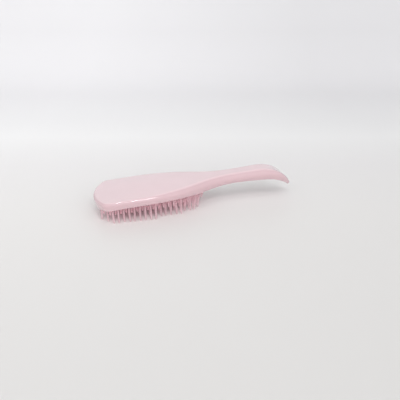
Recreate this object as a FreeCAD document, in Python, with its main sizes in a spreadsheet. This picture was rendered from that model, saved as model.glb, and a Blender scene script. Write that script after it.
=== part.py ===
"""Detangling brush: a hollow one-piece back and handle, a handle underside, and a pad of long and short teeth.

X runs from the toe to the tail of the handle, Y across the head, Z up from the floor under the tooth tips.
Sketches measure X from the toe, and every finished piece is then moved back by half the overall length.
"""
import FreeCAD, Part
import math
import os
import Sketcher
from FreeCAD import Vector

# Driving dimensions in millimetres, and angles in degrees: name, value, meaning
DIMENSIONS = [
    ("head_width", 66.0, "width of the head between its parallel sides"),
    ("toe_radius", 50.0, "bow of the toe in plan"),
    ("toe_corner_radius", 11.0, "rounded corners of the toe in plan"),
    ("shoulder_station", 50.5, "toe to the end of the parallel sides"),
    ("neck_length", 103.5, "end of the parallel sides to the waist"),
    ("neck_radius", 95.0, "hollow of the neck in plan"),
    ("waist_width", 22.6, "narrowest width of the handle"),
    ("grip_length", 69.4, "waist to the tip of the tail"),
    ("tail_width", 25.0, "widest part of the tail"),
    ("tail_side_radius", 30.0, "bow of the tail's sides in plan"),
    ("tail_tip_radius", 6.0, "rounded tip of the tail in plan"),
    ("toe_crown_height", 22.8, "floor to the line of the back over the toe"),
    ("back_slope", 4.6, "climb of the back from the toe to the grip, in degrees"),
    ("tail_crown_reach", 39.0, "start of the back's fall to the tip of the tail, along the back"),
    ("tail_crown_drop", 25.0, "fall of the back over that stretch, square to the back"),
    ("toe_rim_height", 14.9, "floor to the shell's rim at the toe"),
    ("heel_rim_height", 20.2, "floor to the shell's rim at the heel of the head"),
    ("heel_reach", 53.5, "end of the parallel sides to the heel of the head"),
    ("grip_rim_reach", 26.4, "waist to the end of the rim's climb from the heel"),
    ("rim_rise_radius", 200.0, "hollow of the rim where it starts to climb"),
    ("grip_rim_height", 25.9, "floor to the shell's rim along the grip"),
    ("tail_rim_reach", 31.0, "end of the level rim to the tail's tip"),
    ("tip_rim_height", 13.9, "floor to the shell's rim at the tail's tip"),
    ("edge_radius", 4.0, "rounded shoulder all round the back"),
    ("wall", 2.2, "thickness of the shell"),
    ("ledge", 1.6, "width of the step that the pad and the handle underside sit against"),
    ("fit_clearance", 0.15, "gap beside the pad and the handle underside"),
    ("pad_toe_depth", 6.3, "line of the back to the underside of the tooth pad, both over the toe"),
    ("pad_slope", 2.9, "climb of the tooth pad from the toe to the heel, in degrees"),
    ("pad_thickness", 2.2, "thickness of the tooth pad"),
    ("seat_clearance", 0.1, "gap between the handle underside and the step above it"),
    ("cover_thickness", 2.0, "thickness of the handle underside"),
    ("split_reach", 15.0, "heel of the head to the parting between the pad and the handle underside"),
    ("split_gap", 0.3, "width of that parting"),
    ("tab_length", 4.0, "locking tabs on the pad and the handle underside, along the brush"),
    ("tab_width", 2.0, "the same tabs across the brush"),
    ("tab_height", 2.0, "height of a tab"),
    ("tab_clearance", 0.1, "gap round a tab in its socket"),
    ("tab_end_gap", 0.3, "depth left above a tab in its socket"),
    ("boss_wall", 1.4, "wall of a boss round its socket"),
    ("boss_end_gap", 0.2, "gap between a boss and the plate under it"),
    ("toe_tab_station", 30.0, "toe to the first pair of tabs"),
    ("toe_tab_offset", 20.0, "centre line to the first pair of tabs"),
    ("heel_tab_reach", 10.0, "heel of the head back to the second pair of tabs"),
    ("heel_tab_offset", 14.0, "centre line to the second pair of tabs"),
    ("neck_tab_reach", 16.0, "waist to the handle underside's tab in the neck"),
    ("grip_tab_reach", 36.0, "waist to the handle underside's tab in the grip"),
    ("tooth_pitch", 5.6, "spacing of the long teeth both ways"),
    ("tooth_edge_margin", 1.7, "least distance from a tooth's centre to the edge of the pad"),
    ("first_row_station", 7.4, "toe to the first row of long teeth"),
    ("long_tooth_root", 2.0, "width of a long tooth at the pad"),
    ("long_tooth_tip", 1.0, "width of a long tooth at its tip"),
    ("short_tooth_root", 1.8, "width of a short tooth at the pad"),
    ("short_tooth_tip", 0.9, "width of a short tooth at its tip"),
    ("short_tooth_length", 9.0, "length of a short tooth"),
]
TOOTH_SIDES = 6
# Cuts and blanks reach this far past the outline, and this high above the floor
OVERRUN = 4.0
BLANK_HEIGHT = 60.0

ORIGIN = -1
ACROSS = -1
UPRIGHT = -2
START = 1
END = 2
CENTRE = 3
UP = Vector(0, 0, 1)
# How steep the back may get beside an upright wall, as the upward share of its normal
STEEPEST_BACK = 0.2
UPRIGHT_WALL = 0.01
TOUCH = 0.001


class Size:
    """A length together with the sheet formula that gives it."""

    def __init__(self, value, formula):
        self.value = value
        self.formula = formula

    def __add__(self, other):
        return Size(self.value + other.value, f"({self.formula} + {other.formula})")

    def __sub__(self, other):
        return Size(self.value - other.value, f"({self.formula} - {other.formula})")

    def __mul__(self, factor):
        if not isinstance(factor, Size):
            factor = Size(factor, f"{factor}")
        return Size(self.value * factor.value, f"({self.formula} * {factor.formula})")

    def __truediv__(self, divisor):
        if not isinstance(divisor, Size):
            divisor = Size(divisor, f"{divisor}")
        return Size(self.value / divisor.value, f"({self.formula} / {divisor.formula})")


def in_degrees(angle):
    """The sheet formula of an angle."""
    return f"({angle.formula} * 1 deg)"


class Sizes:
    """The driving dimensions by name, and the lengths worked out from them."""

    def __init__(self, sheet):
        for name, _, _ in DIMENSIONS:
            setattr(self, name, Size(float(sheet.get(name)), f"sizes.{name}"))
        self.none = self.wall - self.wall
        self.overrun = Size(OVERRUN, f"{OVERRUN}")
        self.blank_height = Size(BLANK_HEIGHT, f"{BLANK_HEIGHT}")
        self.heel_station = self.shoulder_station + self.heel_reach
        self.split_station = self.heel_station + self.split_reach
        self.waist_station = self.shoulder_station + self.neck_length
        self.length = self.waist_station + self.grip_length
        slope = math.radians(self.back_slope.value)
        sine = Size(math.sin(slope), f"sin({in_degrees(self.back_slope)})")
        cosine = Size(math.cos(slope), f"cos({in_degrees(self.back_slope)})")
        self.toe_setback = self.edge_radius * sine
        tip_depth = (self.toe_crown_height + self.length * sine - self.tip_rim_height) / cosine
        self.overall_length = self.length * cosine + tip_depth * sine - self.toe_setback
        self.pad_toe_height = self.toe_crown_height - self.pad_toe_depth
        self.hollow_inset = self.wall + self.ledge
        self.plate_inset = self.wall + self.fit_clearance
        self.cover_top = self.grip_rim_height + self.cover_thickness
        self.socket_margin = self.tab_clearance * 2
        self.boss_margin = self.socket_margin + self.boss_wall * 2
        self.grip_rim_station = self.waist_station + self.grip_rim_reach


def fill_sheet(doc):
    sheet = doc.addObject("Spreadsheet::Sheet", "sizes")
    for row, (name, value, meaning) in enumerate(DIMENSIONS, start=1):
        sheet.set(f"A{row}", name)
        sheet.set(f"B{row}", str(value))
        sheet.set(f"C{row}", meaning)
        sheet.setAlias(f"B{row}", name)
    doc.recompute()
    return sheet


def origin_plane(body, role):
    return [feature for feature in body.Origin.OriginFeatures if feature.Role == role][0]


def sketch_on(body, role, name, lift=None):
    """A sketch on one of the body's own origin planes, lifted along its normal where asked."""
    sketch = body.newObject("Sketcher::SketchObject", name)
    sketch.AttachmentSupport = [(origin_plane(body, role), "")]
    sketch.MapMode = "FlatFace"
    if lift is not None:
        sketch.setExpression("AttachmentOffset.Base.z", lift.formula)
    return sketch


def bind(sketch, size, kind, *elements):
    """Add a dimension to a sketch and tie it to the sheet."""
    index = sketch.addConstraint(Sketcher.Constraint(kind, *elements, size.value))
    sketch.setExpression(f"Constraints[{index}]", size.formula)


def fix(sketch, kind, *elements):
    sketch.addConstraint(Sketcher.Constraint(kind, *elements))


def place(sketch, size, direction, edge, point):
    """Set how far a point lies from the sketch's origin, on whichever side of it."""
    if size.value < 0:
        bind(sketch, Size(-size.value, f"(-{size.formula})"), direction, edge, point, ORIGIN, START)
    else:
        bind(sketch, size, direction, ORIGIN, START, edge, point)


def place_x(sketch, size, edge, point):
    place(sketch, size, "DistanceX", edge, point)


def place_y(sketch, size, edge, point):
    place(sketch, size, "DistanceY", edge, point)


def segment(start, end):
    return Part.LineSegment(Vector(*start, 0), Vector(*end, 0))


def arc(centre, radius, first, last):
    """An arc drawn anticlockwise from the direction of one point to that of another."""
    circle = Part.Circle(Vector(*centre, 0), UP, radius)
    angles = [math.atan2(point[1] - centre[1], point[0] - centre[0]) for point in (first, last)]
    if angles[1] < angles[0]:
        angles[1] += 2 * math.pi
    return Part.ArcOfCircle(circle, *angles)


def along(centre, towards, distance):
    """The point at a distance from a centre on the way to another point."""
    reach = math.dist(centre, towards)
    return tuple(c + (t - c) * distance / reach for c, t in zip(centre, towards))


class Chain:
    """Edges drawn one after another in a sketch, each tangent to the one before."""

    def __init__(self, sketch):
        self.sketch = sketch
        self.last = None

    def add(self, curve, backwards=False, tangent=True):
        index = self.sketch.addGeometry(curve, False)
        first, last = (END, START) if backwards else (START, END)
        if self.last is not None:
            fix(self.sketch, "Tangent" if tangent else "Coincident", *self.last, index, first)
        self.last = (index, last)
        return index


def draw_half_plan(sketch, s, inset):
    """Half of the brush's plan, drawn in from its edge by an inset, from the tail's tip to the toe and back."""
    toe_r = (s.toe_radius - inset).value
    corner_r = (s.toe_corner_radius - inset).value
    side = (s.head_width / 2 - inset).value
    neck_r = (s.neck_radius + inset).value
    tail_r = (s.tail_side_radius - inset).value
    tip_r = (s.tail_tip_radius - inset).value
    toe = inset.value
    tip = (s.length - inset).value
    shoulder_x = s.shoulder_station.value

    toe_c = (toe + toe_r, 0.0)
    corner_y = side - corner_r
    corner_c = (toe_c[0] - math.sqrt((toe_r - corner_r) ** 2 - corner_y ** 2), corner_y)
    neck_c = (s.waist_station.value, (s.waist_width / 2 + s.neck_radius).value)
    run = neck_c[0] - shoulder_x
    drop = side - (neck_c[1] - neck_r)
    turn = 2 * math.atan2(drop, run)
    shoulder_r = run / math.sin(turn) - neck_r
    shoulder_c = (shoulder_x, side - shoulder_r)
    tip_c = (tip - tip_r, 0.0)
    tail_sink = (s.tail_side_radius - s.tail_width / 2).value
    tail_c = (tip_c[0] - math.sqrt((tail_r - tip_r) ** 2 - tail_sink ** 2), -tail_sink)
    span = math.dist(neck_c, tail_c)
    lean = math.atan2(tail_c[0] - neck_c[0], neck_c[1] - tail_c[1]) - math.acos((neck_r + tail_r) / span)
    normal = (-math.sin(lean), math.cos(lean))
    neck_end = (neck_c[0] - neck_r * normal[0], neck_c[1] - neck_r * normal[1])
    tail_start = (tail_c[0] + tail_r * normal[0], tail_c[1] + tail_r * normal[1])
    tail_end = along(tail_c, tip_c, tail_r)
    neck_start = along(neck_c, shoulder_c, neck_r)
    corner_end = along(toe_c, corner_c, toe_r)

    chain = Chain(sketch)
    tip_arc = chain.add(arc(tip_c, tip_r, (tip, 0.0), tail_end))
    tail_arc = chain.add(arc(tail_c, tail_r, tail_end, tail_start))
    chain.add(segment(tail_start, neck_end))
    neck_arc = chain.add(arc(neck_c, neck_r, neck_start, neck_end), backwards=True)
    chain.add(arc(shoulder_c, shoulder_r, neck_start, (shoulder_x, side)))
    side_line = chain.add(segment((shoulder_x, side), (corner_c[0], side)))
    corner_arc = chain.add(arc(corner_c, corner_r, (corner_c[0], side), corner_end))
    toe_arc = chain.add(arc(toe_c, toe_r, corner_end, (toe, 0.0)))
    middle = chain.add(segment((toe, 0.0), (tip, 0.0)), tangent=False)
    fix(sketch, "Coincident", middle, END, tip_arc, START)

    fix(sketch, "PointOnObject", middle, START, ACROSS)
    fix(sketch, "PointOnObject", middle, END, ACROSS)
    fix(sketch, "PointOnObject", tip_arc, CENTRE, ACROSS)
    fix(sketch, "PointOnObject", toe_arc, CENTRE, ACROSS)
    fix(sketch, "Horizontal", side_line)
    bind(sketch, s.tail_tip_radius - inset, "Radius", tip_arc)
    bind(sketch, s.tail_side_radius - inset, "Radius", tail_arc)
    bind(sketch, s.neck_radius + inset, "Radius", neck_arc)
    bind(sketch, s.toe_corner_radius - inset, "Radius", corner_arc)
    bind(sketch, s.toe_radius - inset, "Radius", toe_arc)
    place_x(sketch, s.length - inset, tip_arc, START)
    place_y(sketch, s.tail_width / 2 - s.tail_side_radius, tail_arc, CENTRE)
    place_x(sketch, s.waist_station, neck_arc, CENTRE)
    place_y(sketch, s.waist_width / 2 + s.neck_radius, neck_arc, CENTRE)
    place_x(sketch, s.shoulder_station, side_line, START)
    place_y(sketch, s.head_width / 2 - inset, side_line, START)
    place_x(sketch, s.toe_radius, toe_arc, CENTRE)


def extrude(body, sketch, name, height):
    pad = body.newObject("PartDesign::Pad", name)
    pad.Profile = sketch
    pad.setExpression("Length", height.formula)
    return pad


def mirrored_blank(body, s, inset, base, height):
    """An upright blank of the whole plan: half of it is extruded from a base level and mirrored."""
    plan = sketch_on(body, "XY_Plane", "plan", base)
    draw_half_plan(plan, s, inset)
    half = extrude(body, plan, "half", height)
    whole = body.newObject("PartDesign::Mirrored", "whole")
    whole.Originals = [half]
    whole.MirrorPlane = (origin_plane(body, "XZ_Plane"), [""])
    body.Tip = whole


def draw_crown_cut(sketch, s, sink):
    """What lies over the back in side view, sunk by a thickness: level to the grip, then round the tail."""
    reach = s.tail_crown_reach
    bend = (reach * reach + s.tail_crown_drop * s.tail_crown_drop) / (s.tail_crown_drop * 2)
    radius = (bend - sink).value
    centre = ((s.length - reach).value, -bend.value)
    level = -sink.value
    ahead = -s.overrun.value
    tip_x = s.length.value
    tip = (tip_x, centre[1] + math.sqrt(radius ** 2 - reach.value ** 2))
    past_x = tip_x + s.overrun.value
    past = (past_x, tip[1] - s.overrun.value * reach.value / (tip[1] - centre[1]))
    top = (s.overrun * 2).value

    chain = Chain(sketch)
    back = chain.add(segment((ahead, level), (centre[0], level)))
    tail = chain.add(arc(centre, radius, tip, (centre[0], level)), backwards=True)
    run_out = chain.add(segment(tip, past))
    behind = chain.add(segment(past, (past_x, top)), tangent=False)
    lid = chain.add(segment((past_x, top), (ahead, top)), tangent=False)
    front = chain.add(segment((ahead, top), (ahead, level)), tangent=False)
    fix(sketch, "Coincident", front, END, back, START)
    fix(sketch, "Horizontal", back)
    fix(sketch, "Horizontal", lid)
    fix(sketch, "Vertical", behind)
    fix(sketch, "Vertical", front)
    place_x(sketch, s.none - s.overrun, back, START)
    place_x(sketch, s.length - reach, tail, CENTRE)
    place_y(sketch, s.none - bend, tail, CENTRE)
    bind(sketch, bend - sink, "Radius", tail)
    place_x(sketch, s.length, tail, START)
    place_x(sketch, s.length + s.overrun, run_out, END)
    place_y(sketch, s.overrun * 2, lid, START)


def draw_rim_cut(sketch, s, lift, far_height):
    """A region bounded by the rim's line in side view, lifted by a thickness, and by a level line far from it."""
    climb = s.heel_rim_height - s.toe_rim_height
    head_radius = (s.heel_station * s.heel_station + climb * climb) / (climb * 2)
    drop = s.grip_rim_height - s.tip_rim_height
    tail_radius = (s.tail_rim_reach * s.tail_rim_reach + drop * drop) / (drop * 2)
    heel = (s.heel_station.value, (s.heel_rim_height + lift).value)
    head_c = (heel[0], (s.heel_rim_height - head_radius).value)
    head_r = (head_radius + lift).value
    toe = (0.0, head_c[1] + math.sqrt(head_r ** 2 - heel[0] ** 2))
    ahead = (-s.overrun.value, toe[1] - s.overrun.value * heel[0] / (toe[1] - head_c[1]))
    rise_r = (s.rim_rise_radius - lift).value
    rise_c = (heel[0], heel[1] + rise_r)
    grip = (s.grip_rim_station.value, (s.grip_rim_height + lift).value)
    turn = 2 * math.atan2(grip[1] - heel[1], grip[0] - heel[0])
    grip_r = (grip[0] - heel[0]) / math.sin(turn) - rise_r
    grip_c = (grip[0], grip[1] - grip_r)
    meet = along(rise_c, grip_c, rise_r)
    tail_x = (s.length - s.tail_rim_reach).value
    tail_c = (tail_x, (s.grip_rim_height - tail_radius).value)
    tail_r = (tail_radius + lift).value
    tip_x = s.length.value
    tip = (tip_x, tail_c[1] + math.sqrt(tail_r ** 2 - s.tail_rim_reach.value ** 2))
    past_x = tip_x + s.overrun.value
    past = (past_x, tip[1] - s.overrun.value * s.tail_rim_reach.value / (tip[1] - tail_c[1]))
    far = far_height.value

    chain = Chain(sketch)
    lead_in = chain.add(segment(ahead, toe))
    head = chain.add(arc(head_c, head_r, heel, toe), backwards=True)
    rise = chain.add(arc(rise_c, rise_r, heel, meet))
    settle = chain.add(arc(grip_c, grip_r, grip, meet), backwards=True)
    level = chain.add(segment(grip, (tail_x, grip[1])))
    tail = chain.add(arc(tail_c, tail_r, tip, (tail_x, grip[1])), backwards=True)
    run_out = chain.add(segment(tip, past))
    behind = chain.add(segment(past, (past_x, far)), tangent=False)
    away = chain.add(segment((past_x, far), (ahead[0], far)), tangent=False)
    front = chain.add(segment((ahead[0], far), ahead), tangent=False)
    fix(sketch, "Coincident", front, END, lead_in, START)

    fix(sketch, "Vertical", behind)
    fix(sketch, "Vertical", front)
    fix(sketch, "Horizontal", away)
    fix(sketch, "Horizontal", level)
    fix(sketch, "PointOnObject", head, END, UPRIGHT)
    place_x(sketch, s.none - s.overrun, lead_in, START)
    bind(sketch, head_radius + lift, "Radius", head)
    place_x(sketch, s.heel_station, head, CENTRE)
    place_x(sketch, s.heel_station, rise, CENTRE)
    place_y(sketch, s.heel_rim_height - head_radius, head, CENTRE)
    bind(sketch, s.rim_rise_radius - lift, "Radius", rise)
    place_x(sketch, s.grip_rim_station, settle, START)
    place_y(sketch, s.grip_rim_height + lift, settle, START)
    bind(sketch, tail_radius + lift, "Radius", tail)
    place_x(sketch, s.length - s.tail_rim_reach, tail, CENTRE)
    place_x(sketch, s.length, tail, START)
    place_x(sketch, s.length + s.overrun, behind, START)
    place_y(sketch, far_height, away, START)


def cut_across(body, sketch, name):
    """Cut a side-view region right through a body, both ways from the middle plane."""
    cut = body.newObject("PartDesign::Pocket", name)
    cut.Profile = sketch
    cut.Type = "ThroughAll"
    cut.SideType = "Symmetric"
    return cut


def draw_box(sketch, left, right, bottom, top):
    """A rectangle square to the sketch."""
    chain = Chain(sketch)
    corners = [(x.value, y.value) for x, y in ((left, bottom), (right, bottom), (right, top), (left, top))]
    floor = chain.add(segment(corners[0], corners[1]))
    back = chain.add(segment(corners[1], corners[2]), tangent=False)
    lid = chain.add(segment(corners[2], corners[3]), tangent=False)
    front = chain.add(segment(corners[3], corners[0]), tangent=False)
    fix(sketch, "Coincident", front, END, floor, START)
    fix(sketch, "Horizontal", floor)
    fix(sketch, "Horizontal", lid)
    fix(sketch, "Vertical", back)
    fix(sketch, "Vertical", front)
    place_x(sketch, left, floor, START)
    place_y(sketch, bottom, floor, START)
    place_x(sketch, right, lid, START)
    place_y(sketch, top, lid, START)


def keep_head(body, s, end):
    """Cut a plate off square at its heel end."""
    sketch = sketch_on(body, "XZ_Plane", "past_the_heel")
    draw_box(sketch, end, s.length + s.overrun, s.none - s.blank_height - s.overrun, s.blank_height)
    cut_across(body, sketch, "heel_end")


def keep_handle(body, s, start):
    """Cut a plate off square at its neck end."""
    sketch = sketch_on(body, "XZ_Plane", "before_the_neck")
    draw_box(sketch, s.none - s.overrun, start, s.none - s.overrun, s.blank_height)
    cut_across(body, sketch, "neck_end")


def cut_to_rim(body, s, lift, name, far_height):
    """Cut away what lies on one side of the rim's line, lifted by a thickness."""
    sketch = sketch_on(body, "XZ_Plane", f"{name}_line")
    draw_rim_cut(sketch, s, lift, far_height)
    cut_across(body, sketch, name)


def top_edges(shape):
    """Names of the edges where an upright wall meets the back."""
    names = []
    for number, edge in enumerate(shape.Edges, start=1):
        middle = edge.valueAt((edge.FirstParameter + edge.LastParameter) / 2)
        slopes = []
        for face in shape.ancestorsOfType(edge, Part.Face):
            slopes.append(face.normalAt(*face.Surface.parameter(middle)).z)
        if len(slopes) == 2 and max(slopes) > STEEPEST_BACK and min(map(abs, slopes)) < UPRIGHT_WALL:
            names.append(f"Edge{number}")
    return names


def round_shoulder(body, radius):
    """Round the whole edge between the walls and the back."""
    body.Document.recompute()
    crown = body.Tip
    edges = top_edges(crown.Shape)
    shoulder = body.newObject("PartDesign::Fillet", "shoulder")
    shoulder.Base = (crown, edges)
    shoulder.setExpression("Radius", radius.formula)


def pad_tab_spots(s):
    """Places of the tooth pad's tabs, in pairs."""
    pairs = [
        (s.toe_tab_station, s.toe_tab_offset),
        (s.heel_station - s.heel_tab_reach, s.heel_tab_offset),
    ]
    spots = []
    for station, offset in pairs:
        spots.append((station, offset))
        spots.append((station, s.none - offset))
    return spots


def cover_tab_spots(s):
    """Places of the handle underside's tabs, along its middle."""
    return [(s.waist_station - s.neck_tab_reach, s.none), (s.waist_station + s.grip_tab_reach, s.none)]


def add_tabs(body, s, name, spots, margin, base, top):
    """Upright blocks over each place, larger than a tab by a margin in all."""
    sketch = sketch_on(body, "XY_Plane", f"{name}_spots", base)
    reach = (s.tab_length + margin) / 2
    half_width = (s.tab_width + margin) / 2
    for x, y in spots:
        draw_box(sketch, x - reach, x + reach, y - half_width, y + half_width)
    extrude(body, sketch, name, top - base)


def make_form(doc, s, name, inset, sink):
    """The back and handle as one block, with a level back, its plan drawn in and its top sunk."""
    body = doc.addObject("PartDesign::Body", name)
    mirrored_blank(body, s, inset, s.none - s.blank_height, s.blank_height + s.overrun)
    sketch = sketch_on(body, "XZ_Plane", "crown_line")
    draw_crown_cut(sketch, s, sink)
    cut_across(body, sketch, "crown")
    return body


def set_on_slope(body, angle, setback, height):
    """Tip a body up towards the tail, about a point over the toe."""
    body.Placement = FreeCAD.Placement(Vector(), FreeCAD.Rotation(Vector(0, -1, 0), angle.value))
    body.setExpression("Placement.Rotation.Angle", in_degrees(angle))
    body.setExpression("Placement.Base.x", f"-{setback.formula}")
    body.setExpression("Placement.Base.z", height.formula)


def set_with_back(body, s):
    set_on_slope(body, s.back_slope, s.toe_setback, s.toe_crown_height)


def set_with_pad(body, s):
    set_on_slope(body, s.pad_slope, s.none, s.pad_toe_height)


def make_outer_form(doc, s):
    """The outside of the back and handle as one solid."""
    body = make_form(doc, s, "outer_form", s.none, s.none)
    round_shoulder(body, s.edge_radius)
    set_with_back(body, s)
    return body


def make_below_rim(doc, s):
    """Everything under the shell's rim."""
    body = doc.addObject("PartDesign::Body", "below_rim")
    sketch = sketch_on(body, "XZ_Plane", "rim_line")
    draw_rim_cut(sketch, s, s.none, s.none - s.blank_height)
    block = extrude(body, sketch, "under_the_rim", s.head_width + s.overrun * 2)
    block.SideType = "Symmetric"
    return body


def make_bosses(doc, s):
    """Blocks that stand in the shell over the tabs of the pad and of the handle underside."""
    pad_bosses = doc.addObject("PartDesign::Body", "pad_bosses")
    foot = s.pad_thickness + s.boss_end_gap
    add_tabs(pad_bosses, s, "over_pad", pad_tab_spots(s), s.boss_margin, foot, s.blank_height)
    set_with_pad(pad_bosses, s)
    cover_bosses = doc.addObject("PartDesign::Body", "cover_bosses")
    foot = s.cover_top + s.boss_end_gap
    add_tabs(cover_bosses, s, "over_cover", cover_tab_spots(s), s.boss_margin, foot, s.blank_height)
    bosses = doc.addObject("Part::MultiFuse", "bosses")
    bosses.Shapes = [pad_bosses, cover_bosses]
    return bosses


def make_hollow(doc, s):
    """The space inside the shell, round the bosses that stand in it."""
    inside = make_form(doc, s, "inside", s.hollow_inset, s.wall)
    set_with_back(inside, s)
    hollow = doc.addObject("Part::Cut", "hollow")
    hollow.Base = inside
    hollow.Tool = make_bosses(doc, s)
    return hollow


def make_pad_sockets(doc, s):
    """The openings in the bosses that take the pad's tabs."""
    body = doc.addObject("PartDesign::Body", "pad_sockets")
    top = s.pad_thickness + s.tab_height + s.tab_end_gap
    add_tabs(body, s, "socket", pad_tab_spots(s), s.socket_margin, s.pad_thickness, top)
    set_with_pad(body, s)
    return body


def make_cover_sockets(doc, s):
    """The openings in the bosses that take the handle underside's tabs."""
    body = doc.addObject("PartDesign::Body", "cover_sockets")
    top = s.cover_top + s.tab_height + s.tab_end_gap
    add_tabs(body, s, "socket", cover_tab_spots(s), s.socket_margin, s.cover_top, top)
    return body


def make_pad_recess(doc, s):
    """The seat of the tooth pad in the head."""
    body = doc.addObject("PartDesign::Body", "pad_recess")
    mirrored_blank(body, s, s.wall, s.none - s.blank_height, s.blank_height + s.pad_thickness)
    keep_head(body, s, s.split_station + s.split_gap)
    set_with_pad(body, s)
    return body


def make_cover_recess(doc, s):
    """The seat of the handle underside."""
    body = doc.addObject("PartDesign::Body", "cover_recess")
    mirrored_blank(body, s, s.wall, s.none, s.blank_height)
    cut_to_rim(body, s, s.cover_thickness + s.seat_clearance, "seat", s.blank_height)
    keep_handle(body, s, s.split_station)
    return body


def make_back_shell(doc, s):
    """The hollow back and handle in one moulding."""
    space = doc.addObject("Part::MultiFuse", "space")
    space.Shapes = [
        make_hollow(doc, s),
        make_pad_sockets(doc, s),
        make_cover_sockets(doc, s),
        make_pad_recess(doc, s),
        make_cover_recess(doc, s),
        make_below_rim(doc, s),
    ]
    shell = doc.addObject("Part::Cut", "back_shell")
    shell.Base = make_outer_form(doc, s)
    shell.Tool = space
    return shell


def make_handle_cover(doc, s):
    """The handle's underside, flush with the rim, with tabs that plug into the shell."""
    body = doc.addObject("PartDesign::Body", "handle_cover")
    mirrored_blank(body, s, s.plate_inset, s.none, s.blank_height)
    cut_to_rim(body, s, s.cover_thickness, "upper_face", s.blank_height)
    keep_handle(body, s, s.split_station + s.split_gap / 2)
    add_tabs(body, s, "tabs", cover_tab_spots(s), s.none, s.heel_rim_height, s.cover_top + s.tab_height)
    cut_to_rim(body, s, s.none, "lower_face", s.none - s.overrun)
    return body


def make_tooth_pad(doc, s):
    """The flat pad that carries the teeth, with tabs that plug into the shell."""
    body = doc.addObject("PartDesign::Body", "tooth_pad")
    mirrored_blank(body, s, s.plate_inset, s.none, s.pad_thickness)
    keep_head(body, s, s.split_station - s.split_gap / 2)
    add_tabs(body, s, "tabs", pad_tab_spots(s), s.none, s.pad_thickness, s.pad_thickness + s.tab_height)
    set_with_pad(body, s)
    return body


def pad_level(s, x):
    """Floor to the underside of the pad at a distance from the toe."""
    return s.pad_toe_height.value + x * math.tan(math.radians(s.pad_slope.value))


def make_tooth(s, spot, root, tip, bottom):
    """A tapered, plane-sided tooth with a flat tip, whose root meets the sloping pad all round."""
    climb = math.tan(math.radians(s.pad_slope.value))
    flare = (root - tip) / 2 / (spot.z - bottom)
    low = []
    high = []
    for side in range(TOOTH_SIDES):
        turn = 2 * math.pi * (side + 0.5) / TOOTH_SIDES
        outward = Vector(math.cos(turn), math.sin(turn), 0)
        height = (spot.z - bottom + climb * outward.x * tip / 2) / (1 - climb * outward.x * flare)
        foot = Vector(spot.x, spot.y, bottom)
        low.append(foot + outward * (tip / 2))
        high.append(foot + outward * (tip / 2 + flare * height) + UP * height)
    low.append(low[0])
    high.append(high[0])
    faces = [Part.Face(Part.makePolygon(low)), Part.Face(Part.makePolygon(high))]
    for side in range(TOOTH_SIDES):
        border = [low[side], low[side + 1], high[side + 1], high[side], low[side]]
        faces.append(Part.Face(Part.makePolygon(border)))
    return Part.Solid(Part.Shell(faces))


def tooth_spots(pad_face, s, shift):
    """The places of a square lattice, shifted both ways by a share of its pitch, that keep clear of the pad's edge."""
    pitch = s.tooth_pitch.value
    edge = pad_face.OuterWire
    columns = int(s.split_station.value / pitch) + 1
    rows = int(s.head_width.value / 2 / pitch) + 1
    spots = []
    for column in range(columns):
        for row in range(-rows, rows + 1):
            x = s.first_row_station.value + (column + shift) * pitch
            y = (row + shift) * pitch
            spot = Vector(x, y, pad_level(s, x))
            inside = pad_face.isInside(spot, TOUCH, True)
            if inside and edge.distToShape(Part.Vertex(spot))[0] >= s.tooth_edge_margin.value:
                spots.append(spot)
    return spots


def make_teeth(doc, name, teeth):
    """One group of teeth: a separate solid at each place, which no plain pattern gives at the rounded edge."""
    group = doc.addObject("Part::Feature", name)
    group.Shape = Part.makeCompound(teeth)
    return group


def make_tooth_groups(doc, s, pad):
    """Long teeth on a square lattice, down to the floor, and short ones in the middle of its squares."""
    facing_down = [face for face in pad.Shape.Faces if face.normalAt(0, 0).z < -STEEPEST_BACK]
    under = max(facing_down, key=lambda face: face.Area)
    long_root, long_tip = s.long_tooth_root.value, s.long_tooth_tip.value
    short_root, short_tip = s.short_tooth_root.value, s.short_tooth_tip.value
    long_teeth = []
    for spot in tooth_spots(under, s, 0.0):
        long_teeth.append(make_tooth(s, spot, long_root, long_tip, 0.0))
    short_teeth = []
    for spot in tooth_spots(under, s, 0.5):
        bottom = spot.z - s.short_tooth_length.value
        short_teeth.append(make_tooth(s, spot, short_root, short_tip, bottom))
    return [make_teeth(doc, "long_teeth", long_teeth), make_teeth(doc, "short_teeth", short_teeth)]


def check(doc, pieces):
    """Stop if any step of the model failed."""
    for step in doc.Objects:
        if "Invalid" in step.State or "Error" in step.State:
            raise RuntimeError(f"{step.Name}: {step.getStatusString()}")
    for piece in pieces:
        if piece.Shape.isNull() or not piece.Shape.isValid():
            raise RuntimeError(f"{piece.Label} has no valid shape")


def main():
    doc = FreeCAD.newDocument("detangling_brush")
    s = Sizes(fill_sheet(doc))
    pad = make_tooth_pad(doc, s)
    pieces = [make_back_shell(doc, s), make_handle_cover(doc, s), pad]
    doc.recompute()
    pieces += make_tooth_groups(doc, s, pad)
    for piece in pieces:
        piece.setExpression("Placement.Base.x", f"-{s.overall_length.formula} / 2")
    doc.recompute()
    check(doc, pieces)
    os.makedirs("parts", exist_ok=True)
    for piece in pieces:
        piece.Shape.exportStep(f"parts/{piece.Label}.step")
        print(piece.Label, len(piece.Shape.Solids), "solids", round(piece.Shape.Volume), "cubic mm")


main()
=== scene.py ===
"""Looks of a pale pink detangling brush that lies on its teeth on a pale floor.

Lengths are in millimetres from the toe while a shape is worked out, and in metres once it is placed.
"""
import math
import random

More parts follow.
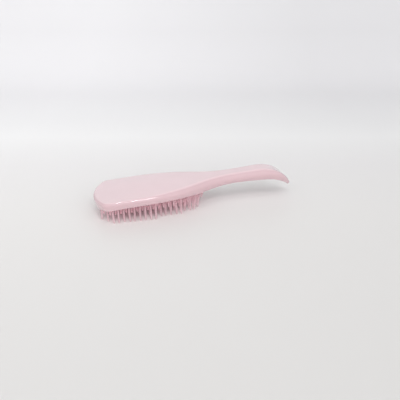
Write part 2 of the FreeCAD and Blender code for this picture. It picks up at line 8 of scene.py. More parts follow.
import bmesh
import bpy
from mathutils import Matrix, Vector

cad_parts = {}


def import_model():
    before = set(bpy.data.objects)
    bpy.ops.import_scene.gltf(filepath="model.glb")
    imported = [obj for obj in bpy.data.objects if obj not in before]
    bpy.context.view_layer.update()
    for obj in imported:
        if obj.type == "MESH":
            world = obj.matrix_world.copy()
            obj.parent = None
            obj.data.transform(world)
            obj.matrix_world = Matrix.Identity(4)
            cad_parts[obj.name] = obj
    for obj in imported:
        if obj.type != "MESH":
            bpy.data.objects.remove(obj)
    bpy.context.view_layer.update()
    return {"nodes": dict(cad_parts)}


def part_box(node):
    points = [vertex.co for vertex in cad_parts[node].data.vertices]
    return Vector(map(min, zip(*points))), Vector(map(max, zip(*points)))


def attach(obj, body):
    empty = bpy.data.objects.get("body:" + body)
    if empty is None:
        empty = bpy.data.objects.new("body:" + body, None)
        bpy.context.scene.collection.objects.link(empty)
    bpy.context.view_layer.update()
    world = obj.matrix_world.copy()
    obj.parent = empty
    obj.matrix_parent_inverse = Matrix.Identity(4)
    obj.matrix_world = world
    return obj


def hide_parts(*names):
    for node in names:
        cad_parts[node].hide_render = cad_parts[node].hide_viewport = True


MM = 0.001
QUARTER_TURN = math.pi / 2
UNIT_RANGE = (0.0, 1.0)

# Camera: where it looks, from how far and from which side
CAMERA_TARGET = (-0.0012, -0.0267, 0.0160)
CAMERA_DISTANCE = 0.4497
CAMERA_AZIMUTH = -12.68
CAMERA_ELEVATION = 26.21
CAMERA_LENS = 37.8
CAMERA_SENSOR = 36.0

# Paper: its reach from under the camera's target, its last flat row, and its bend up into a wall
SHEET_START = -8.0
SHEET_HALF_WIDTH = 8.0
LAST_FLAT_ROW = 0.36
FOLD_START = 0.6
FOLD_BEND = 0.4
FOLD_STEPS = 16
WALL_TOP = 1.2

# Paper: its colours along that way, with painted light in them (a bright band on the flat floor where a fold
# catches light, darker in front and far behind), how much painted shade dims it to the right, and its
# roughness in front and behind
# Painted light: the brightest stop is a band on the flat floor where a fold catches light; the front and far
# stops are darker
PAPER_TONE_AND_PAINTED_LIGHT_STOPS = [
    (-0.30, (0.70, 0.69, 0.68)),
    (0.0, (0.785, 0.775, 0.765)),
    (0.14, (0.81, 0.80, 0.80)),
    (0.20, (0.835, 0.83, 0.83)),
    (0.27, (0.87, 0.87, 0.87)),
    (0.36, (0.835, 0.835, 0.84)),
    (0.60, (0.78, 0.775, 0.79)),
    (1.0, (0.655, 0.65, 0.665)),
    (1.6, (0.63, 0.625, 0.64)),
]
PAPER_PAINTED_SHADE_REACH = 0.3
PAPER_PAINTED_SHADE = 0.07
PAPER_ROUGH_REACH = (0.2, 0.5)
PAPER_ROUGHNESS = (0.42, 0.5)

# Surroundings: where they are brightest, how far that reaches, the levels there and elsewhere, and as seen
BRIGHT_AZIMUTH = -10.0
BRIGHT_ELEVATION = 5.0
BRIGHT_EDGE = 0.0
BRIGHT_LEVEL = 2.1
DIM_LEVEL = 0.41
SEEN_LEVEL = 0.95

# Lamps: the key, and the small ones, each with its glint's place along the brush, its width and its power
KEY_AZIMUTH = 0.0
KEY_ELEVATION = 50.0
KEY_DISTANCE = 1.2
KEY_SIZE = (0.3, 0.2)
KEY_POWER = 1.8
GLINT_HEIGHT = 0.025
GLINT_ELEVATION = 75.0
GLINT_DISTANCE = 0.9
GLINT_LAMP_HEIGHT = 0.04
GLINTS = [
    ("glint_left", -0.0848, 0.018, 0.10),
    ("glint_right", -0.0650, 0.055, 0.25),
]

# Noise: the part of its range that counts, and for each plastic the scale and detail of clouds and grain
NOISE_RANGE = (0.3, 0.7)
SHELL_CLOUDS = (45.0, 4.0)
SHELL_GRAIN = (700.0, 2.0)
PAD_CLOUDS = (60.0, 4.0)
PAD_GRAIN = (1500.0, 3.0)
TOOTH_CLOUDS = (400.0, 3.0)
TOOTH_GRAIN = (2500.0, 2.0)

# Plastic of the shell: its pink on the sides, a paler pink of painted sheen and light where it faces up, its
# clouds, the tilt where that painted sheen begins, its gloss
SIDE_PINK = (0.56, 0.385, 0.415)
PAINTED_SHEEN_PINK = (0.755, 0.575, 0.605)
PINK_CLOUD = 1.03
PAINTED_SHEEN_TILT = (0.8, 1.0)
SHELL_ROUGHNESS = (0.17, 0.23)
SHELL_GRAIN_STRENGTH = 0.05
SHELL_GRAIN_DEPTH = 0.2 * MM
COAT_ROUGHNESS = 0.05
COAT_IOR = 1.7

# Plastic of the pad
PAD_PINK = (0.97, 0.78, 0.82)
PAD_PINK_CLOUD = (0.94, 0.74, 0.78)
PAD_ROUGHNESS = (0.32, 0.42)
PAD_GRAIN_STRENGTH = 0.1
PAD_GRAIN_DEPTH = 0.2 * MM

# Plastic of the teeth: how high the paler tips reach, and how much light goes through
TOOTH_TIP_PINK = (0.998, 0.895, 0.92)
TOOTH_ROOT_PINK = (0.998, 0.865, 0.895)
TOOTH_CLOUD_PINK = (0.998, 0.85, 0.885)
TOOTH_CLOUD_SHARE = (0.0, 0.3)
TOOTH_PALE_HEIGHT = 14.0 * MM
TOOTH_ROUGHNESS = (0.28, 0.4)
TOOTH_GRAIN_STRENGTH = 0.08
TOOTH_GRAIN_DEPTH = 0.1 * MM
TOOTH_GLOW = 0.92

# Plan of the brush
HEAD_HALF_WIDTH = 33.0
TOE_RADIUS = 50.0
TOE_CORNER_RADIUS = 11.0
SHOULDER_STATION = 50.5
WAIST_STATION = 154.0
WAIST_HALF_WIDTH = 11.3
NECK_RADIUS = 95.0
LENGTH = 223.4
TAIL_HALF_WIDTH = 12.5
TAIL_SIDE_RADIUS = 30.0
TAIL_TIP_RADIUS = 6.0

# Stations along each run of the plan
TOE_STEPS = 22
CORNER_STEPS = 12
SIDE_STEPS = 18
SHOULDER_STEPS = 34
NECK_STEPS = 34
GRIP_STEPS = 6
TAIL_STEPS = 26
TIP_STEPS = 12

# Back of the brush, level along its own slope, and the rounding of its edge from station to station
TOE_CROWN_HEIGHT = 22.8
BACK_SLOPE = math.radians(4.6)
TAIL_CROWN_REACH = 39.0
TAIL_CROWN_DROP = 25.0
CAMBER_RADIUS = 480.0
TOE_ROUND = 3.0
GRIP_ROUND = 6.0
TIP_ROUND = 4.0
ROUND_GROWS = (40.0, 110.0)

# Rim in side view, the search for its level, its rounding, and how far it is tucked in along the brush
TOE_RIM_HEIGHT = 13.6
HEEL_RIM_HEIGHT = 20.0
HEEL_STATION = 104.0
RIM_RISE_RADIUS = 200.0
GRIP_RIM_STATION = 180.4
GRIP_RIM_HEIGHT = 25.4
TAIL_RIM_REACH = 31.0
TIP_RIM_HEIGHT = 13.9
RIM_GUESS = -10.0
RIM_PASSES = 20
RIM_ROUND = 0.8
RIM_TUCK = 0.5
GRIP_TUCK = 1.2
TUCK_GROWS = (70.0, 150.0)

# Wall and inside of the shell, and the points along each part of a section
WALL = 2.2
RIM_LIP = 0.4
LIP_BEVEL = 0.3
LEAST_RECESS = 0.8
CEILING_BEVEL = 0.1
RIM_STEPS = 4
WALL_STEPS = 6
ROUND_STEPS = 10
ROOF_STEPS = 9

# Shell in place: its gap to the frame's toe, and how close points lie that become one
TOE_CLEARANCE = 0.01 * MM
MERGE_DISTANCE = 0.01 * MM

# Teeth: lattice and its margin in the box, lean and splay, and each tooth's flare at the root, steps and tip
TOOTH_PITCH = 5.6 * MM
LATTICE_MARGIN = TOOTH_PITCH / 4
TOOTH_SIDES = 12
TOOTH_SPLAY = 0.06
TOOTH_LEAN = 2.0 * MM
TOOTH_LEAN_START = -30.0 * MM
TOOTH_LEAN_END = 5.0 * MM
TOOTH_FLARE = 0.5 * MM
FLARE_ROWS = [(-0.15 * MM, 1.0), (0.25 * MM, 0.45), (0.8 * MM, 0.12), (1.8 * MM, 0.0)]
TOOTH_STEPS = 5
TIP_TURNS = (30, 55, 75)
LONG_TOOTH = {"tip_radius": 0.7 * MM, "root_radius": 1.15 * MM, "wander": 0.8 * MM, "seed": 11}
SHORT_TOOTH = {"tip_radius": 0.85 * MM, "root_radius": 1.5 * MM, "wander": 0.4 * MM, "seed": 12}


def direction(azimuth, elevation):
    """Unit vector from the object towards a viewer or a lamp; azimuth 0 is in front, on the -Y side."""
    turn = math.radians(azimuth)
    rise = math.radians(elevation)
    return Vector((math.sin(turn) * math.cos(rise), -math.cos(turn) * math.cos(rise), math.sin(rise)))


def camera_place():
    return Vector(CAMERA_TARGET) + direction(CAMERA_AZIMUTH, CAMERA_ELEVATION) * CAMERA_DISTANCE


def make_camera():
    data = bpy.data.cameras.new("camera")
    data.lens = CAMERA_LENS
    data.sensor_width = CAMERA_SENSOR
    camera = bpy.data.objects.new("camera", data)
    back = direction(CAMERA_AZIMUTH, CAMERA_ELEVATION)
    camera.location = camera_place()
    camera.rotation_mode = "QUATERNION"
    camera.rotation_quaternion = (-back).to_track_quat("-Z", "Y")
    bpy.context.scene.collection.objects.link(camera)
    bpy.context.scene.camera = camera


def smooth_object(name, mesh):
    """An object in the scene from a mesh that is ready, shaded smooth."""
    data = bpy.data.meshes.new(name)
    mesh.to_mesh(data)
    mesh.free()
    for polygon in data.polygons:
        polygon.use_smooth = True
    piece = bpy.data.objects.new(name, data)
    bpy.context.scene.collection.objects.link(piece)
    return piece


def arc_points(centre, radius, first, last, count):
    """Points and outward normals along an arc from angle to angle; a negative radius turns the normals in."""
    out = []
    for k in range(count + 1):
        angle = first + (last - first) * k / count
        turn = (math.cos(angle), math.sin(angle))
        side = 1.0 if radius > 0 else -1.0
        x = centre[0] + abs(radius) * turn[0]
        y = centre[1] + abs(radius) * turn[1]
        out.append((x, y, side * turn[0], side * turn[1]))
    return out


def line_points(first, last, count):
    """Points and left-hand normals along a straight run."""
    dx = last[0] - first[0]
    dy = last[1] - first[1]
    reach = math.hypot(dx, dy)
    normal = (-dy / reach, dx / reach)
    out = []
    for k in range(count + 1):
        share = k / count
        out.append((first[0] + dx * share, first[1] + dy * share, normal[0], normal[1]))
    return out


def angle_to(centre, point):
    return math.atan2(point[1] - centre[1], point[0] - centre[0])


def whole_angle_to(centre, point):
    """The same angle, counted from nought to a full turn."""
    angle = angle_to(centre, point)
    return angle if angle >= 0 else angle + 2 * math.pi


def head_runs():
    """Half of the plan from the middle of the toe to the end of the straight side."""
    toe = (TOE_RADIUS, 0.0)
    corner_y = HEAD_HALF_WIDTH - TOE_CORNER_RADIUS
    corner_x = toe[0] - math.sqrt((TOE_RADIUS - TOE_CORNER_RADIUS) ** 2 - corner_y ** 2)
    corner = (corner_x, corner_y)
    corner_angle = angle_to(toe, corner)
    return [
        arc_points(toe, TOE_RADIUS, math.pi, corner_angle, TOE_STEPS),
        arc_points(corner, TOE_CORNER_RADIUS, corner_angle, QUARTER_TURN, CORNER_STEPS),
        line_points((corner_x, HEAD_HALF_WIDTH), (SHOULDER_STATION, HEAD_HALF_WIDTH), SIDE_STEPS),
    ]


def handle_runs():
    """Half of the plan from the shoulder to the tip of the tail."""
    neck = (WAIST_STATION, WAIST_HALF_WIDTH + NECK_RADIUS)
    run = WAIST_STATION - SHOULDER_STATION
    turn = 2 * math.atan2(HEAD_HALF_WIDTH - WAIST_HALF_WIDTH, run)
    shoulder_radius = run / math.sin(turn) - NECK_RADIUS
    shoulder = (SHOULDER_STATION, HEAD_HALF_WIDTH - shoulder_radius)
    tip = (LENGTH - TAIL_TIP_RADIUS, 0.0)
    sink = TAIL_SIDE_RADIUS - TAIL_HALF_WIDTH
    tail = (tip[0] - math.sqrt((TAIL_SIDE_RADIUS - TAIL_TIP_RADIUS) ** 2 - sink ** 2), -sink)

    lean = math.atan2(tail[0] - neck[0], neck[1] - tail[1])
    lean -= math.acos((NECK_RADIUS + TAIL_SIDE_RADIUS) / math.dist(neck, tail))
    normal = (-math.sin(lean), math.cos(lean))
    neck_end = (neck[0] - NECK_RADIUS * normal[0], neck[1] - NECK_RADIUS * normal[1])
    tail_start = (tail[0] + TAIL_SIDE_RADIUS * normal[0], tail[1] + TAIL_SIDE_RADIUS * normal[1])
    neck_from = whole_angle_to(neck, shoulder)
    neck_to = whole_angle_to(neck, neck_end)
    tail_from = angle_to(tail, tail_start)
    tail_to = angle_to(tail, tip)
    return [
        arc_points(shoulder, shoulder_radius, QUARTER_TURN, QUARTER_TURN - turn, SHOULDER_STEPS),
        arc_points(neck, -NECK_RADIUS, neck_from, neck_to, NECK_STEPS),
        line_points(neck_end, tail_start, GRIP_STEPS),
        arc_points(tail, TAIL_SIDE_RADIUS, tail_from, tail_to, TAIL_STEPS),
        arc_points(tip, TAIL_TIP_RADIUS, tail_to, 0.0, TIP_STEPS),
    ]


def half_outline():
    """Stations round half of the plan, from the toe to the tip of the tail, with outward normals."""
    stations = []
    for points in head_runs() + handle_runs():
        stations.extend(points[1:] if stations else points)
    return stations


def ease(value, first, last):
    """0 at the first value, 1 at the last, with a smooth climb between."""
    share = min(1.0, max(0.0, (value - first) / (last - first)))
    return share * share * (3 - 2 * share)


def crown(x, y):
    """Height of the back over its own level line, and how fast it climbs along the brush."""
    bend = (TAIL_CROWN_REACH ** 2 + TAIL_CROWN_DROP ** 2) / (2 * TAIL_CROWN_DROP)
    past = max(0.0, x - (LENGTH - TAIL_CROWN_REACH))
    chord = math.sqrt(bend ** 2 - past ** 2)
    edge = HEAD_HALF_WIDTH - TOE_ROUND
    camber = (edge ** 2 - y ** 2) / (2 * CAMBER_RADIUS)
    fade = ease(x, 0.0, SHOULDER_STATION) * ease(x, WAIST_STATION, SHOULDER_STATION)
    return chord - bend + camber * fade, -past / chord


def rim_height(x):
    """Height of the rim over the floor, at a distance from the toe."""
    climb = HEEL_RIM_HEIGHT - TOE_RIM_HEIGHT
    head_bend = (HEEL_STATION ** 2 + climb ** 2) / (2 * climb)
    if x <= HEEL_STATION:
        return HEEL_RIM_HEIGHT - head_bend + math.sqrt(head_bend ** 2 - (HEEL_STATION - x) ** 2)
    run = GRIP_RIM_STATION - HEEL_STATION
    turn = 2 * math.atan2(GRIP_RIM_HEIGHT - HEEL_RIM_HEIGHT, run)
    grip_bend = run / math.sin(turn) - RIM_RISE_RADIUS
    if x <= HEEL_STATION + RIM_RISE_RADIUS * math.sin(turn):
        return HEEL_RIM_HEIGHT + RIM_RISE_RADIUS - math.sqrt(RIM_RISE_RADIUS ** 2 - (x - HEEL_STATION) ** 2)
    if x <= GRIP_RIM_STATION:
        return GRIP_RIM_HEIGHT - grip_bend + math.sqrt(grip_bend ** 2 - (GRIP_RIM_STATION - x) ** 2)
    past = max(0.0, x - (LENGTH - TAIL_RIM_REACH))
    drop = GRIP_RIM_HEIGHT - TIP_RIM_HEIGHT
    tail_bend = (TAIL_RIM_REACH ** 2 + drop ** 2) / (2 * drop)
    return GRIP_RIM_HEIGHT - tail_bend + math.sqrt(tail_bend ** 2 - past ** 2)


def level_to_floor(x, z):
    """From the back's own level frame to distance from the toe and height over the floor."""
    setback = TOE_ROUND * math.sin(BACK_SLOPE)
    across = x * math.cos(BACK_SLOPE) - z * math.sin(BACK_SLOPE) - setback
    height = TOE_CROWN_HEIGHT + x * math.sin(BACK_SLOPE) + z * math.cos(BACK_SLOPE)
    return across, height


def rim_level(x):
    """The rim's height in the back's own level frame, below a station."""
    z = RIM_GUESS
    for _ in range(RIM_PASSES):
        across, height = level_to_floor(x, z)
        z += (rim_height(across) - height) / math.cos(BACK_SLOPE)
    return z


def outer_section(station):
    """Insets and heights up the outside of a section, the rim's height, and how thick the wall is there."""
    x, y, nx, _ = station
    radius = TOE_ROUND + (GRIP_ROUND - TOE_ROUND) * ease(x, *ROUND_GROWS)
    radius += (TIP_ROUND - GRIP_ROUND) * ease(x, LENGTH - TAIL_CROWN_REACH, LENGTH)
    edge, climb = crown(x, y)
    slope = math.atan(-nx * climb)
    low = rim_level(x)
    tuck = RIM_TUCK + (GRIP_TUCK - RIM_TUCK) * ease(x, *TUCK_GROWS)
    top = edge - radius * math.tan((QUARTER_TURN - slope) / 2)
    bottom = low + RIM_ROUND

    outer = []
    for k in range(RIM_STEPS):
        turn = QUARTER_TURN * k / RIM_STEPS
        inset = tuck + RIM_ROUND * (1 - math.sin(turn))
        outer.append((inset, low + RIM_ROUND * (1 - math.cos(turn))))
    for k in range(WALL_STEPS):
        share = k / WALL_STEPS
        outer.append((tuck * (1 - share) ** 2, bottom + (top - bottom) * share))
    for k in range(ROUND_STEPS + 1):
        turn = (QUARTER_TURN - slope) * k / ROUND_STEPS
        outer.append((radius - radius * math.cos(turn), top + radius * math.sin(turn)))
    return outer, low, max(WALL, tuck + RIM_ROUND + RIM_LIP)


def half_section(station):
    """Half of a section of the shell: out along the inside, round the rim and over to the back's middle."""
    x, y, nx, ny = station
    outer, low, wall = outer_section(station)
    skin = [(x - inset * nx, y - inset * ny, z) for inset, z in outer]
    last_x, last_y, last_z = skin[-1]
    lift = last_z - crown(last_x, last_y)[0]
    roof = []
    for k in range(1, ROOF_STEPS + 1):
        roof_y = last_y * (1 - k / ROOF_STEPS)
        roof.append((last_x, roof_y, crown(last_x, roof_y)[0] + lift))

    ceiling = max(last_z - WALL, low + LEAST_RECESS)
    lip = wall - LIP_BEVEL
    vault = wall + CEILING_BEVEL
    inside = []
    for k in range(ROOF_STEPS, -1, -1):
        inside.append((x - vault * nx, (y - vault * ny) * (1 - k / ROOF_STEPS), ceiling))
    inside.append((x - wall * nx, y - wall * ny, ceiling - CEILING_BEVEL))
    inside.append((x - wall * nx, y - wall * ny, low + LIP_BEVEL))
    inside.append((x - lip * nx, y - lip * ny, low))
    return inside + skin + roof


def make_shell(frame_toe):
    """The hollow back and handle, as a closed skin of quads laid section by section."""
    rows = [half_section(station) for station in half_outline()]
    mesh = bmesh.new()

    def place(x, y, z):
        along, height = level_to_floor(x, z)
        return mesh.verts.new((frame_toe + along * MM, y * MM, height * MM))

    for side in (1, -1):
        grid = [[place(x, y * side, z) for x, y, z in half] for half in rows]
        for near, far in zip(grid, grid[1:]):
            for k in range(len(near) - 1):
                corners = [near[k], near[k + 1], far[k + 1], far[k]]
                if side < 0:
                    corners.reverse()
                mesh.faces.new(corners)
    bmesh.ops.remove_doubles(mesh, verts=mesh.verts, dist=MERGE_DISTANCE)
    bmesh.ops.dissolve_degenerate(mesh, edges=mesh.edges, dist=MERGE_DISTANCE)
    bmesh.ops.recalc_face_normals(mesh, faces=mesh.faces)
    return smooth_object("shell_back", mesh)


def tooth_axes(node):
    """Tip and root of each tooth of a CAD node, by its place in the lattice."""
    groups = {}
    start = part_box(node.name)[0]
    for vertex in node.data.vertices:
        column = round((vertex.co.x - start.x - LATTICE_MARGIN) / TOOTH_PITCH)
        row = round((vertex.co.y - start.y - LATTICE_MARGIN) / TOOTH_PITCH)
        groups.setdefault((column, row), []).append(vertex.co.copy())
    axes = []
    for key in sorted(groups):
        points = groups[key]
        low = min(p.z for p in points)
        high = max(p.z for p in points)
        middle = (low + high) / 2
        tips = [p for p in points if p.z < middle]
        roots = [p for p in points if p.z > middle]
        axes.append((sum(tips, Vector()) / len(tips), sum(roots, Vector()) / len(roots)))
    return axes


def tooth_profile(tip, root, tip_radius, root_radius):
    """Heights and radii down a tooth: a flared root, a taper and a rounded tip."""
    profile = []
    for below, share in FLARE_ROWS:
        profile.append((root.z - below, root_radius + TOOTH_FLARE * share))
    start = root.z - FLARE_ROWS[-1][0]
    end = tip.z + tip_radius
    for k in range(1, TOOTH_STEPS + 1):
        share = k / TOOTH_STEPS
        profile.append((start + (end - start) * share, root_radius + (tip_radius - root_radius) * share))
    for turn in TIP_TURNS:
        angle = math.radians(turn)
        profile.append((tip.z + tip_radius * (1 - math.sin(angle)), tip_radius * math.cos(angle)))
    return profile


def add_tooth(mesh, tip, root, tip_radius, root_radius, sway, twist):
    """A round tooth, bent a little towards its tip."""
    rings = []
    for z, radius in tooth_profile(tip, root, tip_radius, root_radius):
        share = max(0.0, (root.z - z) / (root.z - tip.z))
        shift = sway * share * share
        ring = []
        for side in range(TOOTH_SIDES):
            angle = 2 * math.pi * side / TOOTH_SIDES + twist
            x = root.x + shift.x + radius * math.cos(angle)
            y = root.y + shift.y + radius * math.sin(angle)
            ring.append(mesh.verts.new((x, y, z)))
        rings.append(ring)
    for upper, lower in zip(rings, rings[1:]):
        for side in range(TOOTH_SIDES):
            after = (side + 1) % TOOTH_SIDES
            mesh.faces.new((upper[side], lower[side], lower[after], upper[after]))
    mesh.faces.new(rings[0])
    mesh.faces.new(list(reversed(rings[-1])))


def make_teeth(name, node, tip_radius, root_radius, wander, seed):
    """All teeth of a CAD node, each bent its own way by up to the wander."""
    rng = random.Random(seed)
    mesh = bmesh.new()
    for tip, root in tooth_axes(node):
        angle = rng.uniform(0, 2 * math.pi)
        amount = wander * math.sqrt(rng.random())
        sway = Vector((math.cos(angle), math.sin(angle), 0)) * amount
        sway.x -= TOOTH_LEAN * ease(root.x, TOOTH_LEAN_START, TOOTH_LEAN_END)
        sway.y += TOOTH_SPLAY * root.y
        add_tooth(mesh, tip, root, tip_radius, root_radius, sway, rng.uniform(0, 1))
    bmesh.ops.recalc_face_normals(mesh, faces=mesh.faces)
    return smooth_object(name, mesh)


def new_material(name):
    material = bpy.data.materials.new(name)
    material.use_nodes = True
    nodes = material.node_tree.nodes
    return material, nodes, material.node_tree.links, nodes["Principled BSDF"]


def map_range(nodes, links, value, source, result):
    """A value carried from one range to another, held at its ends."""
    node = nodes.new("ShaderNodeMapRange")
    node.inputs["From Min"].default_value = source[0]
    node.inputs["From Max"].default_value = source[1]
    node.inputs["To Min"].default_value = result[0]
    node.inputs["To Max"].default_value = result[1]
    links.new(value, node.inputs["Value"])
    return node.outputs["Result"]


def split_place(nodes, links):
    """X, Y and Z of a point in its object's frame."""
    place = nodes.new("ShaderNodeTexCoord")
    split = nodes.new("ShaderNodeSeparateXYZ")
    links.new(place.outputs["Object"], split.inputs["Vector"])
    return split.outputs


def noise(nodes, links, scale, detail):
    """Cloudy noise fixed to the object."""
    place = nodes.new("ShaderNodeTexCoord")
    node = nodes.new("ShaderNodeTexNoise")
    node.inputs["Scale"].default_value = scale
    node.inputs["Detail"].default_value = detail
    links.new(place.outputs["Object"], node.inputs["Vector"])
    return node.outputs["Fac"]


def colour_mix(nodes, links, share, first, last):
    """A colour between two, where each is a socket or a fixed colour."""
    node = nodes.new("ShaderNodeMix")
    node.data_type = "RGBA"
    links.new(share, node.inputs["Factor"])
    for socket, colour in ((node.inputs["A"], first), (node.inputs["B"], last)):
        if isinstance(colour, tuple):
            socket.default_value = (*colour, 1.0)
        else:
            links.new(colour, socket)
    return node.outputs["Result"]


def shallow_bump(nodes, links, shader, height, strength, depth):
    node = nodes.new("ShaderNodeBump")
    node.inputs["Strength"].default_value = strength
    node.inputs["Distance"].default_value = depth
    links.new(height, node.inputs["Height"])
    links.new(node.outputs["Normal"], shader.inputs["Normal"])


def shell_plastic():
    """Glossy pale pink moulded plastic, faintly clouded, with painted sheen and light that make it paler
    where it faces up.
    """
    material, nodes, links, shader = new_material("shell_plastic")
    cloud = noise(nodes, links, *SHELL_CLOUDS)
    mottle = map_range(nodes, links, cloud, NOISE_RANGE, UNIT_RANGE)
    side = colour_mix(nodes, links, mottle, SIDE_PINK, tuple(PINK_CLOUD * c for c in SIDE_PINK))
    top = colour_mix(nodes, links, mottle, PAINTED_SHEEN_PINK, tuple(PINK_CLOUD * c for c in PAINTED_SHEEN_PINK))
    # Painted sheen and light: faces that point up get a paler pink than the sides
    facing = nodes.new("ShaderNodeNewGeometry")
    split = nodes.new("ShaderNodeSeparateXYZ")
    links.new(facing.outputs["Normal"], split.inputs["Vector"])
    painted_sheen_share = map_range(nodes, links, split.outputs["Z"], PAINTED_SHEEN_TILT, UNIT_RANGE)
    links.new(colour_mix(nodes, links, painted_sheen_share, side, top), shader.inputs["Base Color"])
    links.new(map_range(nodes, links, cloud, NOISE_RANGE, SHELL_ROUGHNESS), shader.inputs["Roughness"])
    grain = noise(nodes, links, *SHELL_GRAIN)
    shallow_bump(nodes, links, shader, grain, SHELL_GRAIN_STRENGTH, SHELL_GRAIN_DEPTH)
    shader.inputs["Coat Weight"].default_value = 1.0
    shader.inputs["Coat Roughness"].default_value = COAT_ROUGHNESS
    shader.inputs["Coat IOR"].default_value = COAT_IOR
    return material


def pad_plastic():
    """Satin pink plastic of the pad that carries the teeth, faintly clouded, with a fine moulded grain."""
    material, nodes, links, shader = new_material("pad_plastic")
    cloud = noise(nodes, links, *PAD_CLOUDS)
    mottle = map_range(nodes, links, cloud, NOISE_RANGE, UNIT_RANGE)
    links.new(colour_mix(nodes, links, mottle, PAD_PINK, PAD_PINK_CLOUD), shader.inputs["Base Color"])
    links.new(map_range(nodes, links, cloud, NOISE_RANGE, PAD_ROUGHNESS), shader.inputs["Roughness"])
    grain = noise(nodes, links, *PAD_GRAIN)
    shallow_bump(nodes, links, shader, grain, PAD_GRAIN_STRENGTH, PAD_GRAIN_DEPTH)
    return material


def tooth_plastic():
    """Softer plastic of the teeth, which lets light through, paler towards the thin tips."""
    material, nodes, links, shader = new_material("tooth_plastic")
    height = map_range(nodes, links, split_place(nodes, links)["Z"], (0.0, TOOTH_PALE_HEIGHT), UNIT_RANGE)
    tone = colour_mix(nodes, links, height, TOOTH_TIP_PINK, TOOTH_ROOT_PINK)
    mottle = map_range(nodes, links, noise(nodes, links, *TOOTH_CLOUDS), NOISE_RANGE, TOOTH_CLOUD_SHARE)
    tone = colour_mix(nodes, links, mottle, tone, TOOTH_CLOUD_PINK)
    links.new(tone, shader.inputs["Base Color"])
    links.new(map_range(nodes, links, height, UNIT_RANGE, TOOTH_ROUGHNESS), shader.inputs["Roughness"])
    grain = noise(nodes, links, *TOOTH_GRAIN)
    shallow_bump(nodes, links, shader, grain, TOOTH_GRAIN_STRENGTH, TOOTH_GRAIN_DEPTH)
    glow = nodes.new("ShaderNodeBsdfTranslucent")
    links.new(tone, glow.inputs["Color"])
    blend = nodes.new("ShaderNodeMixShader")
    blend.inputs["Fac"].default_value = TOOTH_GLOW
    links.new(shader.outputs["BSDF"], blend.inputs[1])
    links.new(glow.outputs["BSDF"], blend.inputs[2])
    links.new(blend.outputs["Shader"], nodes["Material Output"].inputs["Surface"])
    return material


def paper_painted_light_ramp(nodes, links, reach):
    """The paper's colour by how far along the sheet a point lies, with painted light: a bright band where a
    fold catches light, darker in front and far behind.
    """
    first, first_colour = PAPER_TONE_AND_PAINTED_LIGHT_STOPS[0]
    last, last_colour = PAPER_TONE_AND_PAINTED_LIGHT_STOPS[-1]
    ramp = nodes.new("ShaderNodeValToRGB")
    stops = ramp.color_ramp.elements
    stops[0].color = (*first_colour, 1.0)
    stops[1].color = (*last_colour, 1.0)
    for place, colour in PAPER_TONE_AND_PAINTED_LIGHT_STOPS[1:-1]:
        stop = stops.new((place - first) / (last - first))
        stop.color = (*colour, 1.0)
    links.new(map_range(nodes, links, reach, (first, last), UNIT_RANGE), ramp.inputs["Fac"])
    return ramp.outputs["Color"]


def floor_paper():
    """Pale paper over the floor and the wall, with a painted bright band on the flat floor where a fold
    catches light, and painted shade that dims it to the right.
    """
    material, nodes, links, shader = new_material("floor_paper")
    place = split_place(nodes, links)
    sheet = nodes.new("ShaderNodeMath")
    sheet.operation = "ADD"
    links.new(place["Y"], sheet.inputs[0])
    links.new(place["Z"], sheet.inputs[1])
    reach = sheet.outputs["Value"]
    # Painted shade: the paper is made darker towards the right
    sides = (-PAPER_PAINTED_SHADE_REACH, PAPER_PAINTED_SHADE_REACH)
    across = map_range(nodes, links, place["X"], sides, (1.0 + PAPER_PAINTED_SHADE, 1.0 - PAPER_PAINTED_SHADE))
    painted_shade = nodes.new("ShaderNodeVectorMath")
    painted_shade.operation = "SCALE"
    links.new(paper_painted_light_ramp(nodes, links, reach), painted_shade.inputs[0])
    links.new(across, painted_shade.inputs["Scale"])
    links.new(painted_shade.outputs["Vector"], shader.inputs["Base Color"])
    links.new(map_range(nodes, links, reach, PAPER_ROUGH_REACH, PAPER_ROUGHNESS), shader.inputs["Roughness"])
    return material


def make_stage():
    """A pale floor that sweeps up into a backdrop, square to the camera."""
    profile = [(SHEET_START, 0.0), (0.0, 0.0), (LAST_FLAT_ROW, 0.0)]
    for k in range(FOLD_STEPS + 1):
        turn = QUARTER_TURN * k / FOLD_STEPS
        profile.append((FOLD_START + FOLD_BEND * math.sin(turn), FOLD_BEND - FOLD_BEND * math.cos(turn)))
    profile.append((FOLD_START + FOLD_BEND, WALL_TOP))
    columns = (-SHEET_HALF_WIDTH, 0.0, SHEET_HALF_WIDTH)
    mesh = bmesh.new()
    rows = []
    for reach, height in profile:
        rows.append([mesh.verts.new((across, reach, height)) for across in columns])
    for near, far in zip(rows, rows[1:]):
        for k in range(len(columns) - 1):
            mesh.faces.new((near[k], near[k + 1], far[k + 1], far[k]))
    floor = smooth_object("floor", mesh)
    floor.location = (CAMERA_TARGET[0], CAMERA_TARGET[1], 0.0)
    floor.rotation_euler = (0.0, 0.0, math.radians(CAMERA_AZIMUTH))
    floor.data.materials.append(floor_paper())


def area_light(name, location, target, size, power):
    """A rectangular lamp that faces a point."""
    data = bpy.data.lights.new(name, "AREA")
    data.shape = "RECTANGLE"
    data.size = size[0]
    data.size_y = size[1]
    data.energy = power
    lamp = bpy.data.objects.new(name, data)
    lamp.location = location
    lamp.rotation_mode = "QUATERNION"
    lamp.rotation_quaternion = (Vector(location) - Vector(target)).to_track_quat("Z", "Y")
    bpy.context.scene.collection.objects.link(lamp)


def seen_rays(nodes, links):
    """1 for a ray by which the surroundings are seen, directly, mirrored or through something, else 0."""
    rays = nodes.new("ShaderNodeLightPath")
    seen = rays.outputs["Is Camera Ray"]
    for kind in ("Is Glossy Ray", "Is Transmission Ray"):
        either = nodes.new("ShaderNodeMath")
        either.operation = "MAXIMUM"
        links.new(seen, either.inputs[0])
        links.new(rays.outputs[kind], either.inputs[1])
        seen = either.outputs["Value"]
    return seen


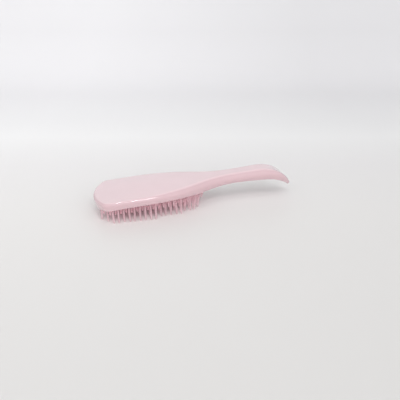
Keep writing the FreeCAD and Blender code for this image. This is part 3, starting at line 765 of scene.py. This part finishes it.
def make_world():
    """Soft white surroundings that give most light from low in front, and are seen as one even tone."""
    world = bpy.data.worlds.new("studio")
    bpy.context.scene.world = world
    world.use_nodes = True
    nodes = world.node_tree.nodes
    links = world.node_tree.links
    place = nodes.new("ShaderNodeTexCoord")
    towards = nodes.new("ShaderNodeVectorMath")
    towards.operation = "DOT_PRODUCT"
    towards.inputs[1].default_value = direction(BRIGHT_AZIMUTH, BRIGHT_ELEVATION)
    links.new(place.outputs["Generated"], towards.inputs[0])
    level = map_range(nodes, links, towards.outputs["Value"], (BRIGHT_EDGE, 1.0), (DIM_LEVEL, BRIGHT_LEVEL))
    shown = nodes.new("ShaderNodeMix")
    links.new(seen_rays(nodes, links), shown.inputs["Factor"])
    links.new(level, shown.inputs["A"])
    shown.inputs["B"].default_value = SEEN_LEVEL
    background = nodes["Background"]
    background.inputs["Color"].default_value = (1.0, 1.0, 1.0, 1.0)
    links.new(shown.outputs["Result"], background.inputs["Strength"])


def glint_place(x):
    """A point on the near shoulder at x, and where a lamp stands that is mirrored there."""
    point = Vector((x, -HEAD_HALF_WIDTH * MM, GLINT_HEIGHT))
    along = Vector((math.cos(BACK_SLOPE), 0.0, math.sin(BACK_SLOPE)))
    above = Vector((-math.sin(BACK_SLOPE), 0.0, math.cos(BACK_SLOPE)))
    front = Vector((0.0, -1.0, 0.0))
    lean = (camera_place() - point).normalized().dot(along)
    rise = math.radians(GLINT_ELEVATION)
    round_shoulder = front * math.cos(rise) + above * math.sin(rise)
    return point, point + (round_shoulder * math.sqrt(1 - lean * lean) - along * lean) * GLINT_DISTANCE


def make_light():
    """A lamp that throws the handle's shadow back, and two small ones for the glints on the shoulder."""
    key_place = direction(KEY_AZIMUTH, KEY_ELEVATION) * KEY_DISTANCE
    area_light("key", key_place, (0.0, 0.0, 0.0), KEY_SIZE, KEY_POWER)
    for name, x, width, power in GLINTS:
        point, place = glint_place(x)
        area_light(name, place, point, (width, GLINT_LAMP_HEIGHT), power)


def dress_nodes(nodes, looks):
    """New materials on the CAD nodes that stay."""
    for name, look in looks:
        nodes[name].data.materials.clear()
        nodes[name].data.materials.append(look)


def main():
    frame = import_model()
    nodes = frame["nodes"]
    make_camera()
    make_stage()
    make_world()
    make_light()

    shell_look = shell_plastic()
    tooth_look = tooth_plastic()
    dress_nodes(nodes, [("handle_cover", shell_look), ("tooth_pad", pad_plastic())])

    shell = make_shell(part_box("back_shell")[0].x + TOE_CLEARANCE)
    shell.data.materials.append(shell_look)
    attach(shell, "root")
    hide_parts("back_shell")

    long_teeth = make_teeth("teeth_long", nodes["long_teeth"], **LONG_TOOTH)
    short_teeth = make_teeth("teeth_short", nodes["short_teeth"], **SHORT_TOOTH)
    for piece, node in ((long_teeth, "long_teeth"), (short_teeth, "short_teeth")):
        piece.data.materials.append(tooth_look)
        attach(piece, "root")
        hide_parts(node)

    bpy.context.scene.view_settings.view_transform = "Standard"


main()
